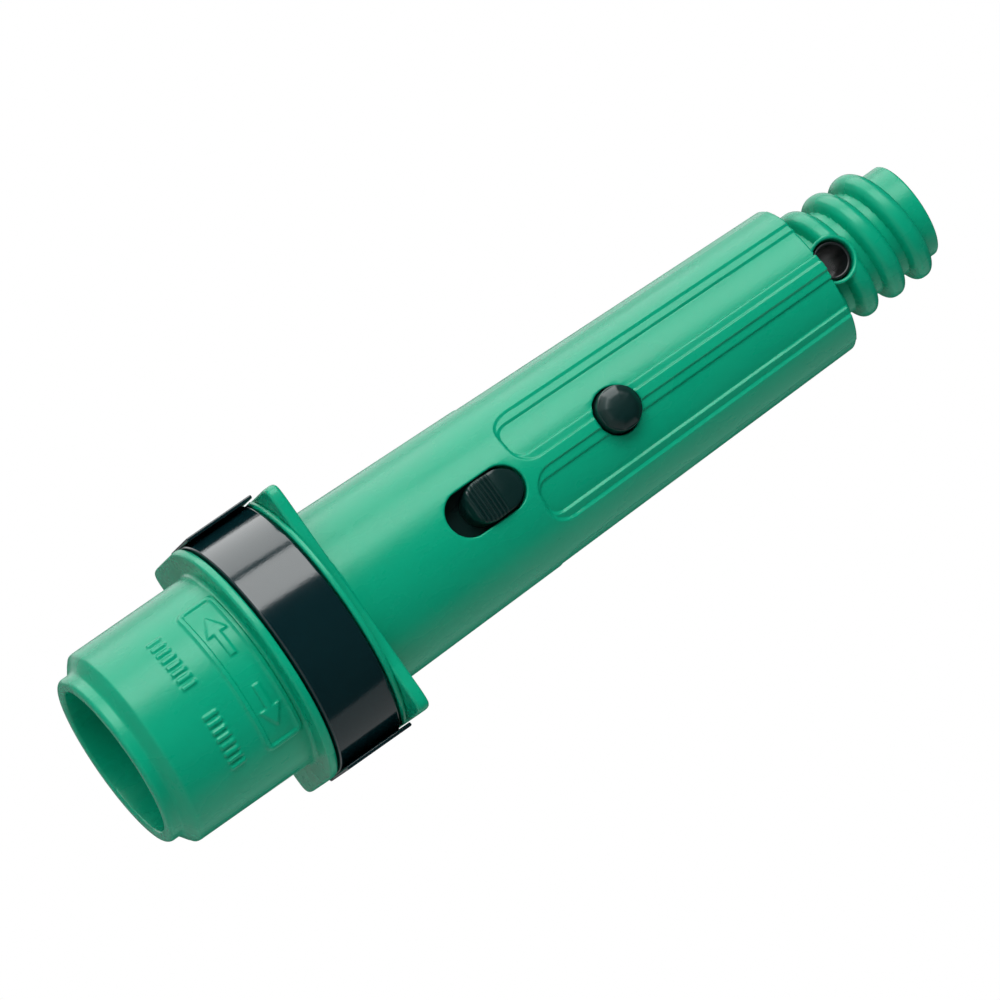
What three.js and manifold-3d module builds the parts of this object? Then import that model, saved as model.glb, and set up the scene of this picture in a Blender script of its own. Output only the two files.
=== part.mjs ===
// Pole-tip locking cone: a moulded cone that plugs onto a telescopic pole and carries a
// screw-on cleaning tool at its tip. Units are millimetres, +Z runs from the pole socket
// to the threaded tip, and the button and slide switch face -Y.
// "depth" below means a distance from the axis towards the front, so y = -depth.

import * as THREE from 'three';
import { mergeVertices } from 'three/addons/utils/BufferGeometryUtils.js';
import Module from 'manifold-3d';

const wasm = await Module();
wasm.setup();

// ---------- driving dimensions ----------

const GAP = 0.3; // clearance between pieces that would otherwise touch
const CUT = 1; // how far a cutter runs past the face it opens

// socket barrel
const BARREL_R = 16.3;
const LIP_R = 14.1;
const LIP_LENGTH = 2.1;
const LIP_ROUND = 0.8;
const LIP_CHAMFER_LENGTH = 1.6;
const BARREL_LENGTH = 24.2; // mouth to the front flange
const SOCKET_R = 12.1;
const SOCKET_DEPTH = 50.0;

// flanges that guide the clip
const FLANGE_REACH = 3.7; // past the barrel
const FLANGE_SIDE_CUT = 0.05; // flat taken off each side
const REAR_FLANGE_SIDE_CUT = 0.4;
const FLANGE_CORNER_DROP = 2.7; // of the square corners below the rim
const FRONT_FLANGE_THICKNESS = 1.4;
const REAR_FLANGE_THICKNESS = 0.9;
const CLIP_GROOVE_WIDTH = 11.4;
const PLATE_THICKNESS = 2.0;
const PLATE_CORNER = 1.9;
const PLATE_HALF_HEIGHT = 15.7;

// cone
const CONE_LENGTH = 87.2; // end plate to the cone's end face
const CONE_R_START = 14.6;
const CONE_SLOPE = 0.025; // radius lost per millimetre of length
const CONE_END_CHAMFER = 0.35;
const CAVITY_R = 10.6;
const CAVITY_LENGTH = 52.5;
const CAVITY_TAPER = 2;
const CORE_R = 5.2;
const CORE_LENGTH = 15.5;

// neck and thread
const NECK_LENGTH = 19.2;
const NECK_ROOT_R = 7.8;
const NECK_BORE_R = 4.4;
const NECK_BORE_DEPTH = 21.5;
const TIP_CHAMFER = 0.3;
const THREAD_R = 9.75;
const THREAD_PITCH = 5.08;
const THREAD_CREST = 2.1; // flat on the crest
const THREAD_FOOT = 3.5; // width where the thread meets the neck
const THREAD_START = -0.8; // from the cone's end face to the crest where the thread begins
const THREAD_TURNS = 3.45;
const THREAD_RUNOUT_TURNS = 0.14;
const THREAD_SINK = 0.8; // how deep the thread's foot is set into the neck
const THREAD_END_SINK = 0.3; // how deep its crest dives at each end

// hole across the neck
const CROSS_HOLE_OFFSET = 2.4; // from the cone's end face
const CROSS_SLEEVE_R = 2.9;
const CROSS_SLEEVE_WALL = 0.5;
const CROSS_BOSS_WALL = 0.85;
const CROSS_BOSS_REACH = 9.4;
const CROSS_SLEEVE_RECESS = 0.7; // of the sleeve's ends below the boss

// recessed grip panels
const PANEL_OFFSET = 31.3; // from the end plate to the start of the panels
const PANEL_STEP_DEPTH = 0.42;
const PANEL_NEAR_EDGE = 3;
const PANEL_FAR_EDGE = 42.5;
const PANEL_INNER_NEAR_EDGE = 9.3;
const PANEL_INNER_FAR_EDGE = 36;
const SIDE_PANEL_HALF_ANGLE = 21;
const SIDE_PANEL_DEPTH = 0.12;
const PANEL_CORNER = 3.8;
const PANEL_INNER_CORNER = 2.2;

// slide switch
const SLOT_OFFSET = 17.6; // from the end plate to the slot's socket-side end
const SLOT_LENGTH = 13.3;
const SLOT_WIDTH = 7.2;
const SLIDE_TRAVEL = 3.1;
const KNOB_PROUD = 1.3;
const KNOB_RIDGES = 6;
const KNOB_RIDGE_HEIGHT = 0.35;
const KNOB_RIDGE_TOP = 0.3;
const KNOB_RIDGED_LENGTH = 6.4; // from its tip-side end
const KNOB_SCOOP = 1.4; // how far the other end dips for the thumb
const KNOB_BASE_THICKNESS = 0.8;
const KNOB_BASE_HALF_WIDTH = 4.5;
const KNOB_BASE_GAP = 0.2; // between the base's long edges and the cavity's wall
const KNOB_PEG_R = 1.5;
const BAR_THICKNESS = 1.2;
const BAR_HALF_WIDTH = 6.0;
const BAR_RAIL = 1.4;
const BAR_END = 2.2;
const BAR_WINDOW_GAP = 0.4;

// push button
const BUTTON_OFFSET = 48.5; // from the end plate
const BUTTON_R = 3.4;
const BUTTON_PROUD = 2.4;
const BUTTON_TRAVEL = 2.4;
const BUTTON_FACES = 8;
const SHOULDER_R = 4.2;
const SHOULDER_THICKNESS = 0.9;
const STEM_R = 2.0;
const STEM_LENGTH = 5.6;
const SPRING_R = 3.3;
const SPRING_WIRE = 0.6;
const SPRING_TURNS = 5;
const SPRING_LENGTH = 10.2;

// carrier for the mechanism
const CARRIER_WALL = 2.0;
const CARRIER_LENGTH = 48;
const CUP_WALL = 1.3;
const POCKET_FLOOR = 1.2;

// detent
const BALL_R = 1.6;
const BALL_SINK = 1.1; // of its centre below the carrier's flat
const DETENT_OFFSET = 10.4; // from the knob's centre
const DETENT_SPRING_LENGTH = 2.6;
const DETENT_SPRING_R = 1.5;
const DETENT_WIRE = 0.4;
const DETENT_TURNS = 3;

// pole stop
const STOP_THICKNESS = 3.2;
const STOP_HOLE_R = 3.0;
const STOP_CHAMFER = 1.1;

// retaining clip
const CLIP_WALL = 3.5;
const CLIP_LEG_Y = 6.2;
const CLIP_RIB_DEPTH = 1.0; // how far each rib reaches into the socket
const CLIP_RIB_WIDTH = 3.0;
const CLIP_RIB_Y = 6.0;
const PAD_PROUD = 0.2; // of the clip's outer face
const PAD_Y = -8.4;
const PAD_THICKNESS = 0.6;
const PAD_OVERHANG = 0.75; // past the clip, into a recess of the rear flange

// ---------- places worked out from them ----------

const flangeR = BARREL_R + FLANGE_REACH;
const flangeHalfWidth = flangeR - FLANGE_SIDE_CUT;
const rearFlangeHalfWidth = flangeR - REAR_FLANGE_SIDE_CUT;
const flangeCornerY = flangeR - FLANGE_CORNER_DROP;
const clipInnerR = BARREL_R + GAP;
const clipOuterR = clipInnerR + CLIP_WALL;
const ribReach = SOCKET_R - CLIP_RIB_DEPTH;
const padFaceX = clipOuterR + PAD_PROUD;
const padInnerX = padFaceX - PAD_THICKNESS;
const grooveZ = BARREL_LENGTH + FRONT_FLANGE_THICKNESS;
const rearFlangeZ = grooveZ + CLIP_GROOVE_WIDTH;
const plateZ = rearFlangeZ + REAR_FLANGE_THICKNESS;
const coneZ = plateZ + PLATE_THICKNESS;
const coneEndZ = coneZ + CONE_LENGTH;
const tipZ = coneEndZ + NECK_LENGTH;
const stopSeatZ = SOCKET_DEPTH + STOP_THICKNESS + GAP;
const cavityEndZ = SOCKET_DEPTH + CAVITY_LENGTH;
const coreEndZ = cavityEndZ + CORE_LENGTH;
const clipZ = grooveZ + GAP;
const clipEndZ = rearFlangeZ - GAP;
const padEndZ = clipEndZ + PAD_OVERHANG;
const ribZ = (clipZ + clipEndZ) / 2;
const slotZ = coneZ + SLOT_OFFSET;
const slotEndZ = slotZ + SLOT_LENGTH;
const knobLength = SLOT_LENGTH - SLIDE_TRAVEL - 2 * GAP;
const knobWidth = SLOT_WIDTH - 2 * GAP;
const knobZ = slotEndZ - GAP - knobLength / 2;
const buttonZ = coneZ + BUTTON_OFFSET;
const crossZ = coneEndZ + CROSS_HOLE_OFFSET;
const carrierZ = stopSeatZ + GAP;
const detentZ = knobZ + DETENT_OFFSET;
const knobBaseTop = Math.sqrt(CAVITY_R ** 2 - KNOB_BASE_HALF_WIDTH ** 2) - KNOB_BASE_GAP;
const knobBaseDepth = knobBaseTop - KNOB_BASE_THICKNESS;
const barTop = knobBaseDepth - GAP;
const barDepth = barTop - BAR_THICKNESS;
const carrierTop = barDepth - GAP; // depth of the carrier's flat
const ballDepth = carrierTop - BALL_SINK;
const shoulderTop = Math.sqrt(CAVITY_R ** 2 - SHOULDER_R ** 2) - GAP;
const shoulderDepth = shoulderTop - SHOULDER_THICKNESS;
const springTopDepth = shoulderDepth - GAP;
const springFloorDepth = springTopDepth - SPRING_LENGTH - GAP;
const detentSpringDepth = ballDepth - BALL_R - GAP - DETENT_SPRING_LENGTH;
const windowZ = buttonZ - SHOULDER_R - BAR_WINDOW_GAP;
const windowEndZ = buttonZ + SHOULDER_R + SLIDE_TRAVEL + BAR_WINDOW_GAP;

const coneRadius = (z) => CONE_R_START - CONE_SLOPE * (z - coneZ);
const degrees = (angle) => (angle * Math.PI) / 180;

// ---------- solids and booleans ----------

function toSolid(geometry) {
  const bare = new THREE.BufferGeometry();
  bare.setAttribute('position', geometry.getAttribute('position').clone());
  bare.setIndex(geometry.getIndex());
  const merged = mergeVertices(bare, 1e-4);
  const position = merged.getAttribute('position').array;
  const index = merged.getIndex().array;
  const faces = [];
  let volume = 0;
  const corners = [new THREE.Vector3(), new THREE.Vector3(), new THREE.Vector3()];
  for (let i = 0; i < index.length; i += 3) {
    const [a, b, c] = [index[i], index[i + 1], index[i + 2]];
    if (a === b || b === c || c === a) continue;
    faces.push([a, b, c]);
    [a, b, c].forEach((corner, k) => corners[k].fromArray(position, 3 * corner));
    volume += corners[0].dot(corners[1].clone().cross(corners[2]));
  }
  const triVerts = new Uint32Array(faces.flatMap(([a, b, c]) => (volume < 0 ? [a, c, b] : [a, b, c])));
  const vertProperties = new Float32Array(position);
  return new wasm.Manifold(new wasm.Mesh({ numProp: 3, vertProperties, triVerts }));
}

function toGeometry(solid) {
  const mesh = solid.getMesh();
  const geometry = new THREE.BufferGeometry();
  geometry.setAttribute('position', new THREE.BufferAttribute(mesh.vertProperties, 3));
  geometry.setIndex(new THREE.BufferAttribute(mesh.triVerts, 1));
  geometry.computeVertexNormals();
  return geometry;
}

// closed profile of [radius, z] points turned about the Z axis
function turned(profile, segments = 60) {
  const points = profile.map(([radius, z]) => new THREE.Vector2(radius, z));
  return toSolid(new THREE.LatheGeometry(points, segments).rotateX(Math.PI / 2));
}

// closed profile of [radius, depth] points turned about a line along Y at height z
function turnedAcross(profile, z, segments = 24) {
  const points = profile.map(([radius, depth]) => new THREE.Vector2(radius, depth));
  const turn = Math.PI / segments;
  const lathe = new THREE.LatheGeometry(points, segments).rotateY(turn).rotateX(Math.PI);
  return toSolid(lathe.translate(0, 0, z));
}

// outline in X and Y, from height z up by length
function extrudedUp(shape, z, length, curveSegments = 12) {
  const options = { depth: length, bevelEnabled: false, curveSegments };
  return toSolid(new THREE.ExtrudeGeometry(shape, options).translate(0, 0, z));
}

// outline in X and Z, filling depths from near to far
function extrudedAcross(shape, near, far, curveSegments = 8) {
  const options = { depth: far - near, bevelEnabled: false, curveSegments };
  const geometry = new THREE.ExtrudeGeometry(shape, options).rotateX(Math.PI / 2);
  return toSolid(geometry.translate(0, -near, 0));
}

function box(x0, x1, y0, y1, z0, z1) {
  const geometry = new THREE.BoxGeometry(x1 - x0, y1 - y0, z1 - z0);
  return toSolid(geometry.translate((x0 + x1) / 2, (y0 + y1) / 2, (z0 + z1) / 2));
}

// slot outline with round ends, drawn in X and Z
function stadium(width, length, centreZ) {
  const radius = width / 2;
  const straight = length / 2 - radius;
  const shape = new THREE.Shape();
  shape.absarc(0, centreZ + straight, radius, 0, Math.PI, false);
  shape.absarc(0, centreZ - straight, radius, Math.PI, 2 * Math.PI, false);
  shape.closePath();
  return shape;
}

// closed wire coil about a line along Y, its axis at height z
function coil(radius, wire, turns, near, far, z) {
  const stepsPerTurn = 10;
  const path = new THREE.CatmullRomCurve3(
    Array.from({ length: turns * stepsPerTurn + 1 }, (_, i) => {
      const angle = (2 * Math.PI * i) / stepsPerTurn;
      const depth = near + wire / 2 + ((far - near - wire) * i) / (turns * stepsPerTurn);
      const reach = radius - wire / 2;
      return new THREE.Vector3(reach * Math.cos(angle), -depth, z + reach * Math.sin(angle));
    }),
  );
  const section = new THREE.Shape();
  section.absarc(0, 0, wire / 2, 0, 2 * Math.PI, false);
  const options = { steps: turns * stepsPerTurn, bevelEnabled: false, extrudePath: path, curveSegments: 3 };
  return toSolid(new THREE.ExtrudeGeometry(section, options));
}

// ---------- moulded body ----------

// round towards the front, square-cornered towards the back
function flangeOutline(halfWidth) {
  const shape = new THREE.Shape();
  const flatAngle = Math.acos(halfWidth / flangeR);
  const rearAngle = Math.asin(flangeCornerY / flangeR);
  shape.absarc(0, 0, flangeR, Math.PI + flatAngle, 2 * Math.PI - flatAngle, false);
  shape.lineTo(halfWidth, flangeCornerY);
  shape.absarc(0, 0, flangeR, rearAngle, Math.PI - rearAngle, false);
  shape.lineTo(-halfWidth, flangeCornerY);
  shape.closePath();
  return shape;
}

function endPlate() {
  const shape = new THREE.Shape();
  const x = rearFlangeHalfWidth - PLATE_CORNER;
  const y = PLATE_HALF_HEIGHT - PLATE_CORNER;
  shape.absarc(x, y, PLATE_CORNER, 0, Math.PI / 2, false);
  shape.absarc(-x, y, PLATE_CORNER, Math.PI / 2, Math.PI, false);
  shape.absarc(-x, -y, PLATE_CORNER, Math.PI, (3 * Math.PI) / 2, false);
  shape.absarc(x, -y, PLATE_CORNER, (3 * Math.PI) / 2, 2 * Math.PI, false);
  shape.closePath();
  return extrudedUp(shape, plateZ - GAP, coneZ - plateZ + GAP, 6);
}

function bodyOutside() {
  const lipRound = [0.25, 0.5, 0.75, 1].map((share) => {
    const angle = (share * Math.PI) / 2;
    return [LIP_R - LIP_ROUND * (1 - Math.sin(angle)), LIP_ROUND * (1 - Math.cos(angle))];
  });
  return turned([
    [0, 0],
    [LIP_R - LIP_ROUND, 0],
    ...lipRound,
    [LIP_R, LIP_LENGTH],
    [BARREL_R, LIP_LENGTH + LIP_CHAMFER_LENGTH],
    [BARREL_R, coneZ - GAP],
    [coneRadius(coneZ), coneZ],
    [coneRadius(coneEndZ - CONE_END_CHAMFER), coneEndZ - CONE_END_CHAMFER],
    [coneRadius(coneEndZ) - CONE_END_CHAMFER, coneEndZ],
    [NECK_ROOT_R, coneEndZ],
    [NECK_ROOT_R, tipZ - TIP_CHAMFER],
    [NECK_ROOT_R - TIP_CHAMFER, tipZ],
    [0, tipZ],
  ]);
}

function bodyHollow() {
  const socketSide = turned(
    [
      [0, -CUT],
      [SOCKET_R, -CUT],
      [SOCKET_R, stopSeatZ],
      [CAVITY_R, stopSeatZ],
      [CAVITY_R, cavityEndZ],
      [CORE_R, cavityEndZ + CAVITY_TAPER],
      [CORE_R, coreEndZ],
      [0, coreEndZ],
    ],
    48,
  );
  const neckBore = turned(
    [
      [0, tipZ - NECK_BORE_DEPTH],
      [NECK_BORE_R, tipZ - NECK_BORE_DEPTH],
      [NECK_BORE_R, tipZ + CUT],
      [0, tipZ + CUT],
    ],
    36,
  );
  return socketSide.add(neckBore);
}

// closed helical ribbon whose foot is sunk in the neck
function thread() {
  const stepsPerTurn = 30;
  const steps = Math.round(THREAD_TURNS * stepsPerTurn);
  const sunkR = NECK_ROOT_R - THREAD_SINK;
  const endR = NECK_ROOT_R - THREAD_END_SINK;
  const firstZ = coneEndZ + THREAD_START;
  const positions = [];
  for (let i = 0; i <= steps; i += 1) {
    const turns = i / stepsPerTurn;
    const angle = 2 * Math.PI * turns - Math.PI / 2;
    const centreZ = firstZ + THREAD_PITCH * turns;
    const fromEnd = Math.min(turns, steps / stepsPerTurn - turns);
    const fade = Math.min(1, fromEnd / THREAD_RUNOUT_TURNS);
    const crestR = endR + (THREAD_R - endR) * fade;
    const section = [
      [sunkR, -THREAD_FOOT / 2],
      [NECK_ROOT_R, -THREAD_FOOT / 2],
      [crestR, -THREAD_CREST / 2],
      [crestR, THREAD_CREST / 2],
      [NECK_ROOT_R, THREAD_FOOT / 2],
      [sunkR, THREAD_FOOT / 2],
    ];
    section.forEach(([radius, z]) => {
      positions.push(radius * Math.cos(angle), radius * Math.sin(angle), centreZ + z);
    });
  }
  const count = 6;
  const index = [];
  for (let i = 0; i < steps; i += 1) {
    for (let k = 0; k < count; k += 1) {
      const a = i * count + k;
      const b = i * count + ((k + 1) % count);
      index.push(a, b, a + count, b, b + count, a + count);
    }
  }
  for (let k = 1; k < count - 1; k += 1) {
    const last = steps * count;
    index.push(0, k + 1, k, last, last + k, last + k + 1);
  }
  const geometry = new THREE.BufferGeometry();
  geometry.setAttribute('position', new THREE.Float32BufferAttribute(positions, 3));
  geometry.setIndex(index);
  return toSolid(geometry);
}

// cutter for a grip panel between two azimuths (0 is the front), round at its start
function panelCutter(azimuth0, azimuth1, startZ, depth, corner) {
  const columns = 7;
  const rows = 5;
  const lastZ = coneEndZ + CUT;
  const radiusAt = (z) => coneRadius(z) - depth;
  const heights = Array.from({ length: rows }, (_, i) => {
    return startZ + corner * (1 - Math.cos((i / (rows - 1)) * (Math.PI / 2)));
  });
  heights.push(lastZ);
  const positions = [];
  heights.forEach((z) => {
    const past = Math.max(0, corner - (z - startZ));
    const inset = corner - Math.sqrt(corner ** 2 - past ** 2);
    const turn = inset / coneRadius(z);
    for (let i = 0; i <= columns; i += 1) {
      const from = degrees(azimuth0) + turn;
      const to = degrees(azimuth1) - turn;
      const angle = from + ((to - from) * i) / columns - Math.PI / 2;
      [radiusAt(z), coneRadius(z) + CUT].forEach((radius) => {
        positions.push(radius * Math.cos(angle), radius * Math.sin(angle), z);
      });
    }
  });
  const at = (row, column, outer) => 2 * (row * (columns + 1) + column) + outer;
  const index = [];
  const quad = (a, b, c, d) => index.push(a, b, c, a, c, d);
  const lastRow = heights.length - 1;
  for (let row = 0; row < lastRow; row += 1) {
    for (let i = 0; i < columns; i += 1) {
      quad(at(row, i, 1), at(row, i + 1, 1), at(row + 1, i + 1, 1), at(row + 1, i, 1));
      quad(at(row, i, 0), at(row + 1, i, 0), at(row + 1, i + 1, 0), at(row, i + 1, 0));
    }
    quad(at(row, 0, 0), at(row, 0, 1), at(row + 1, 0, 1), at(row + 1, 0, 0));
    quad(at(row, columns, 0), at(row + 1, columns, 0), at(row + 1, columns, 1), at(row, columns, 1));
  }
  for (let i = 0; i < columns; i += 1) {
    quad(at(0, i, 0), at(0, i + 1, 0), at(0, i + 1, 1), at(0, i, 1));
    quad(at(lastRow, i, 0), at(lastRow, i, 1), at(lastRow, i + 1, 1), at(lastRow, i + 1, 0));
  }
  const geometry = new THREE.BufferGeometry();
  geometry.setAttribute('position', new THREE.Float32BufferAttribute(positions, 3));
  geometry.setIndex(index);
  return toSolid(geometry);
}

function gripPanels() {
  const startZ = coneZ + PANEL_OFFSET;
  const cutters = [];
  [0, 180].forEach((face) => {
    [-1, 1].forEach((side) => {
      const span = (near, far) => [face + side * near, face + side * far].sort((a, b) => a - b);
      const outer = span(PANEL_NEAR_EDGE, PANEL_FAR_EDGE);
      const inner = span(PANEL_INNER_NEAR_EDGE, PANEL_INNER_FAR_EDGE);
      cutters.push(panelCutter(...outer, startZ, PANEL_STEP_DEPTH, PANEL_CORNER));
      cutters.push(panelCutter(...inner, startZ + GAP, 2 * PANEL_STEP_DEPTH, PANEL_INNER_CORNER));
    });
  });
  [90, 270].forEach((face) => {
    const edges = [face - SIDE_PANEL_HALF_ANGLE, face + SIDE_PANEL_HALF_ANGLE];
    cutters.push(panelCutter(...edges, startZ, SIDE_PANEL_DEPTH, PANEL_CORNER));
  });
  return cutters.reduce((sum, cutter) => sum.add(cutter));
}

// the same box at +X and at -X
function mirroredBoxes(near, far, y0, y1, z0, z1) {
  return box(near, far, y0, y1, z0, z1).add(box(-far, -near, y0, y1, z0, z1));
}

// slots in the collar that let the clip's ribs reach into the socket
function ribSlots() {
  const low = ribZ - CLIP_RIB_WIDTH / 2 - GAP;
  const high = ribZ + CLIP_RIB_WIDTH / 2 + GAP;
  return mirroredBoxes(ribReach - GAP, BARREL_R + CUT, -BARREL_R, CLIP_RIB_Y + GAP, low, high);
}

// room in the rear flange for the push pads, open towards the front
function padRecesses() {
  const rear = CLIP_LEG_Y + GAP;
  return mirroredBoxes(padInnerX - GAP, flangeR + CUT, -flangeR, rear, clipEndZ, padEndZ + GAP);
}

function coneBody() {
  const crossBoss = turnedAcross(
    [
      [0, -CROSS_BOSS_REACH],
      [CROSS_SLEEVE_R + GAP + CROSS_BOSS_WALL, -CROSS_BOSS_REACH],
      [CROSS_SLEEVE_R + GAP + CROSS_BOSS_WALL, CROSS_BOSS_REACH],
      [0, CROSS_BOSS_REACH],
    ],
    crossZ,
  );
  const crossHole = turnedAcross(
    [
      [0, -THREAD_R - CUT],
      [CROSS_SLEEVE_R + GAP, -THREAD_R - CUT],
      [CROSS_SLEEVE_R + GAP, THREAD_R + CUT],
      [0, THREAD_R + CUT],
    ],
    crossZ,
  );
  const buttonHole = turnedAcross(
    [
      [0, 0],
      [BUTTON_R + GAP, 0],
      [BUTTON_R + GAP, flangeR],
      [0, flangeR],
    ],
    buttonZ,
  );
  const slotCentre = slotZ + SLOT_LENGTH / 2;
  return bodyOutside()
    .add(extrudedUp(flangeOutline(flangeHalfWidth), BARREL_LENGTH, FRONT_FLANGE_THICKNESS))
    .add(extrudedUp(flangeOutline(rearFlangeHalfWidth), rearFlangeZ, REAR_FLANGE_THICKNESS))
    .add(endPlate())
    .add(thread())
    .subtract(gripPanels())
    .add(crossBoss)
    .subtract(bodyHollow())
    .subtract(crossHole)
    .subtract(buttonHole)
    .subtract(extrudedAcross(stadium(SLOT_WIDTH, SLOT_LENGTH, slotCentre), 0, flangeR))
    .subtract(ribSlots())
    .subtract(padRecesses());
}

// ---------- retaining clip ----------

function clipOutline() {
  const shape = new THREE.Shape();
  shape.moveTo(-clipOuterR, CLIP_LEG_Y);
  shape.lineTo(-clipOuterR, 0);
  shape.absarc(0, 0, clipOuterR, Math.PI, 2 * Math.PI, false);
  shape.lineTo(clipOuterR, CLIP_LEG_Y);
  shape.lineTo(clipInnerR, CLIP_LEG_Y);
  shape.lineTo(clipInnerR, 0);
  shape.absarc(0, 0, clipInnerR, 0, Math.PI, true);
  shape.lineTo(-clipInnerR, CLIP_LEG_Y);
  shape.closePath();
  return shape;
}

function retainingClip() {
  const low = ribZ - CLIP_RIB_WIDTH / 2;
  const high = ribZ + CLIP_RIB_WIDTH / 2;
  return extrudedUp(clipOutline(), clipZ, clipEndZ - clipZ, 24)
    .add(mirroredBoxes(padInnerX, padFaceX, PAD_Y, CLIP_LEG_Y, clipZ, padEndZ))
    .add(mirroredBoxes(ribReach, clipInnerR + CUT, -CLIP_RIB_Y, CLIP_RIB_Y, low, high));
}

// ---------- push button ----------

function releaseButton() {
  const crown = coneRadius(buttonZ) + BUTTON_PROUD;
  const plunger = turnedAcross(
    [
      [0, shoulderDepth - STEM_LENGTH],
      [STEM_R, shoulderDepth - STEM_LENGTH],
      [STEM_R, shoulderDepth],
      [SHOULDER_R, shoulderDepth],
      [SHOULDER_R, shoulderTop],
      [BUTTON_R, shoulderTop],
      [BUTTON_R, crown - 2 * BUTTON_PROUD],
      [0, crown - 2 * BUTTON_PROUD],
    ],
    buttonZ,
  );
  const cap = turnedAcross(
    [
      [0, shoulderTop],
      [BUTTON_R, shoulderTop],
      [BUTTON_R, crown - BUTTON_PROUD / 2],
      [BUTTON_R / 3, crown],
      [0, crown],
    ],
    buttonZ,
    BUTTON_FACES,
  );
  return plunger.add(cap);
}

function buttonSpring() {
  const near = springTopDepth - SPRING_LENGTH;
  return coil(SPRING_R, SPRING_WIRE, SPRING_TURNS, near, springTopDepth, buttonZ);
}

// ---------- slide switch ----------

function slideKnob() {
  const top = coneRadius(knobZ) + KNOB_PROUD;
  const low = knobZ - knobLength / 2;
  const high = knobZ + knobLength / 2;
  const ridgePitch = KNOB_RIDGED_LENGTH / KNOB_RIDGES;
  const side = new THREE.Shape();
  side.moveTo(high + CUT, knobBaseDepth);
  side.lineTo(high + CUT, top - KNOB_RIDGE_HEIGHT);
  for (let i = 0; i < KNOB_RIDGES; i += 1) {
    const z = high - i * ridgePitch;
    side.lineTo(z, top - KNOB_RIDGE_HEIGHT);
    side.lineTo(z - (ridgePitch - KNOB_RIDGE_TOP) / 2, top);
    side.lineTo(z - (ridgePitch + KNOB_RIDGE_TOP) / 2, top);
  }
  side.lineTo(high - KNOB_RIDGED_LENGTH, top - KNOB_RIDGE_HEIGHT);
  side.lineTo(low, top - KNOB_SCOOP);
  side.lineTo(low - CUT, top - KNOB_SCOOP);
  side.lineTo(low - CUT, knobBaseDepth);
  side.closePath();
  const options = { depth: knobWidth + 2 * CUT, bevelEnabled: false };
  const prism = new THREE.ExtrudeGeometry(side, options);
  prism.translate(0, 0, -knobWidth / 2 - CUT);
  // shape X becomes Z, shape Y becomes -Y, the extrusion runs across X
  const turn = new THREE.Matrix4().makeBasis(
    new THREE.Vector3(0, 0, 1),
    new THREE.Vector3(0, -1, 0),
    new THREE.Vector3(1, 0, 0),
  );
  const block = toSolid(prism.applyMatrix4(turn));
  const plan = extrudedAcross(stadium(knobWidth, knobLength, knobZ), knobBaseDepth, flangeR);
  const base = box(
    -KNOB_BASE_HALF_WIDTH,
    KNOB_BASE_HALF_WIDTH,
    -knobBaseDepth - KNOB_BASE_THICKNESS,
    -knobBaseDepth,
    low - SLIDE_TRAVEL,
    high + SLIDE_TRAVEL,
  );
  const peg = turnedAcross(
    [
      [0, barDepth + GAP],
      [KNOB_PEG_R, barDepth + GAP],
      [KNOB_PEG_R, knobBaseDepth + KNOB_BASE_THICKNESS / 2],
      [0, knobBaseDepth + KNOB_BASE_THICKNESS / 2],
    ],
    knobZ,
    16,
  );
  return block.intersect(plan).add(base).add(peg);
}

function slideBar() {
  const startZ = knobZ - knobLength / 2;
  const plate = box(-BAR_HALF_WIDTH, BAR_HALF_WIDTH, -barTop, -barDepth, startZ, windowEndZ + BAR_END);
  const railInner = BAR_HALF_WIDTH - BAR_RAIL;
  const window = box(-railInner, railInner, -barTop - CUT, -barDepth + CUT, windowZ, windowEndZ);
  const pegHole = turnedAcross(
    [
      [0, barDepth - CUT],
      [KNOB_PEG_R + GAP, barDepth - CUT],
      [KNOB_PEG_R + GAP, barTop + CUT],
      [0, barTop + CUT],
    ],
    knobZ,
    16,
  );
  const ballReach = Math.sqrt(BALL_R ** 2 - (barDepth - ballDepth) ** 2) + GAP;
  const grooveTop = ballDepth + BALL_R + GAP;
  const groove = box(
    -ballReach,
    ballReach,
    -grooveTop,
    -barDepth + CUT,
    detentZ - ballReach,
    detentZ + ballReach + SLIDE_TRAVEL,
  );
  return plate.subtract(window).subtract(pegHole).subtract(groove);
}

// ---------- detent ----------

function detentBall() {
  const sphere = new THREE.SphereGeometry(BALL_R, 16, 10);
  return toSolid(sphere.translate(0, -ballDepth, detentZ));
}

function detentSpring() {
  const near = detentSpringDepth;
  return coil(DETENT_SPRING_R, DETENT_WIRE, DETENT_TURNS, near, near + DETENT_SPRING_LENGTH, detentZ);
}

// ---------- carrier ----------

function dOutline(radius, flatDepth) {
  const shape = new THREE.Shape();
  const angle = Math.asin(flatDepth / radius);
  shape.absarc(0, 0, radius, -angle, Math.PI + angle, false);
  shape.closePath();
  return shape;
}

function springCup(z, pocketR, floorDepth) {
  const outer = turnedAcross(
    [
      [0, floorDepth - POCKET_FLOOR],
      [pocketR + CUP_WALL, floorDepth - POCKET_FLOOR],
      [pocketR + CUP_WALL, carrierTop - CARRIER_WALL / 2],
      [0, carrierTop - CARRIER_WALL / 2],
    ],
    z,
  );
  const pocket = turnedAcross(
    [
      [0, floorDepth],
      [pocketR, floorDepth],
      [pocketR, carrierTop + CUT],
      [0, carrierTop + CUT],
    ],
    z,
  );
  return { outer, pocket };
}

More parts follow.
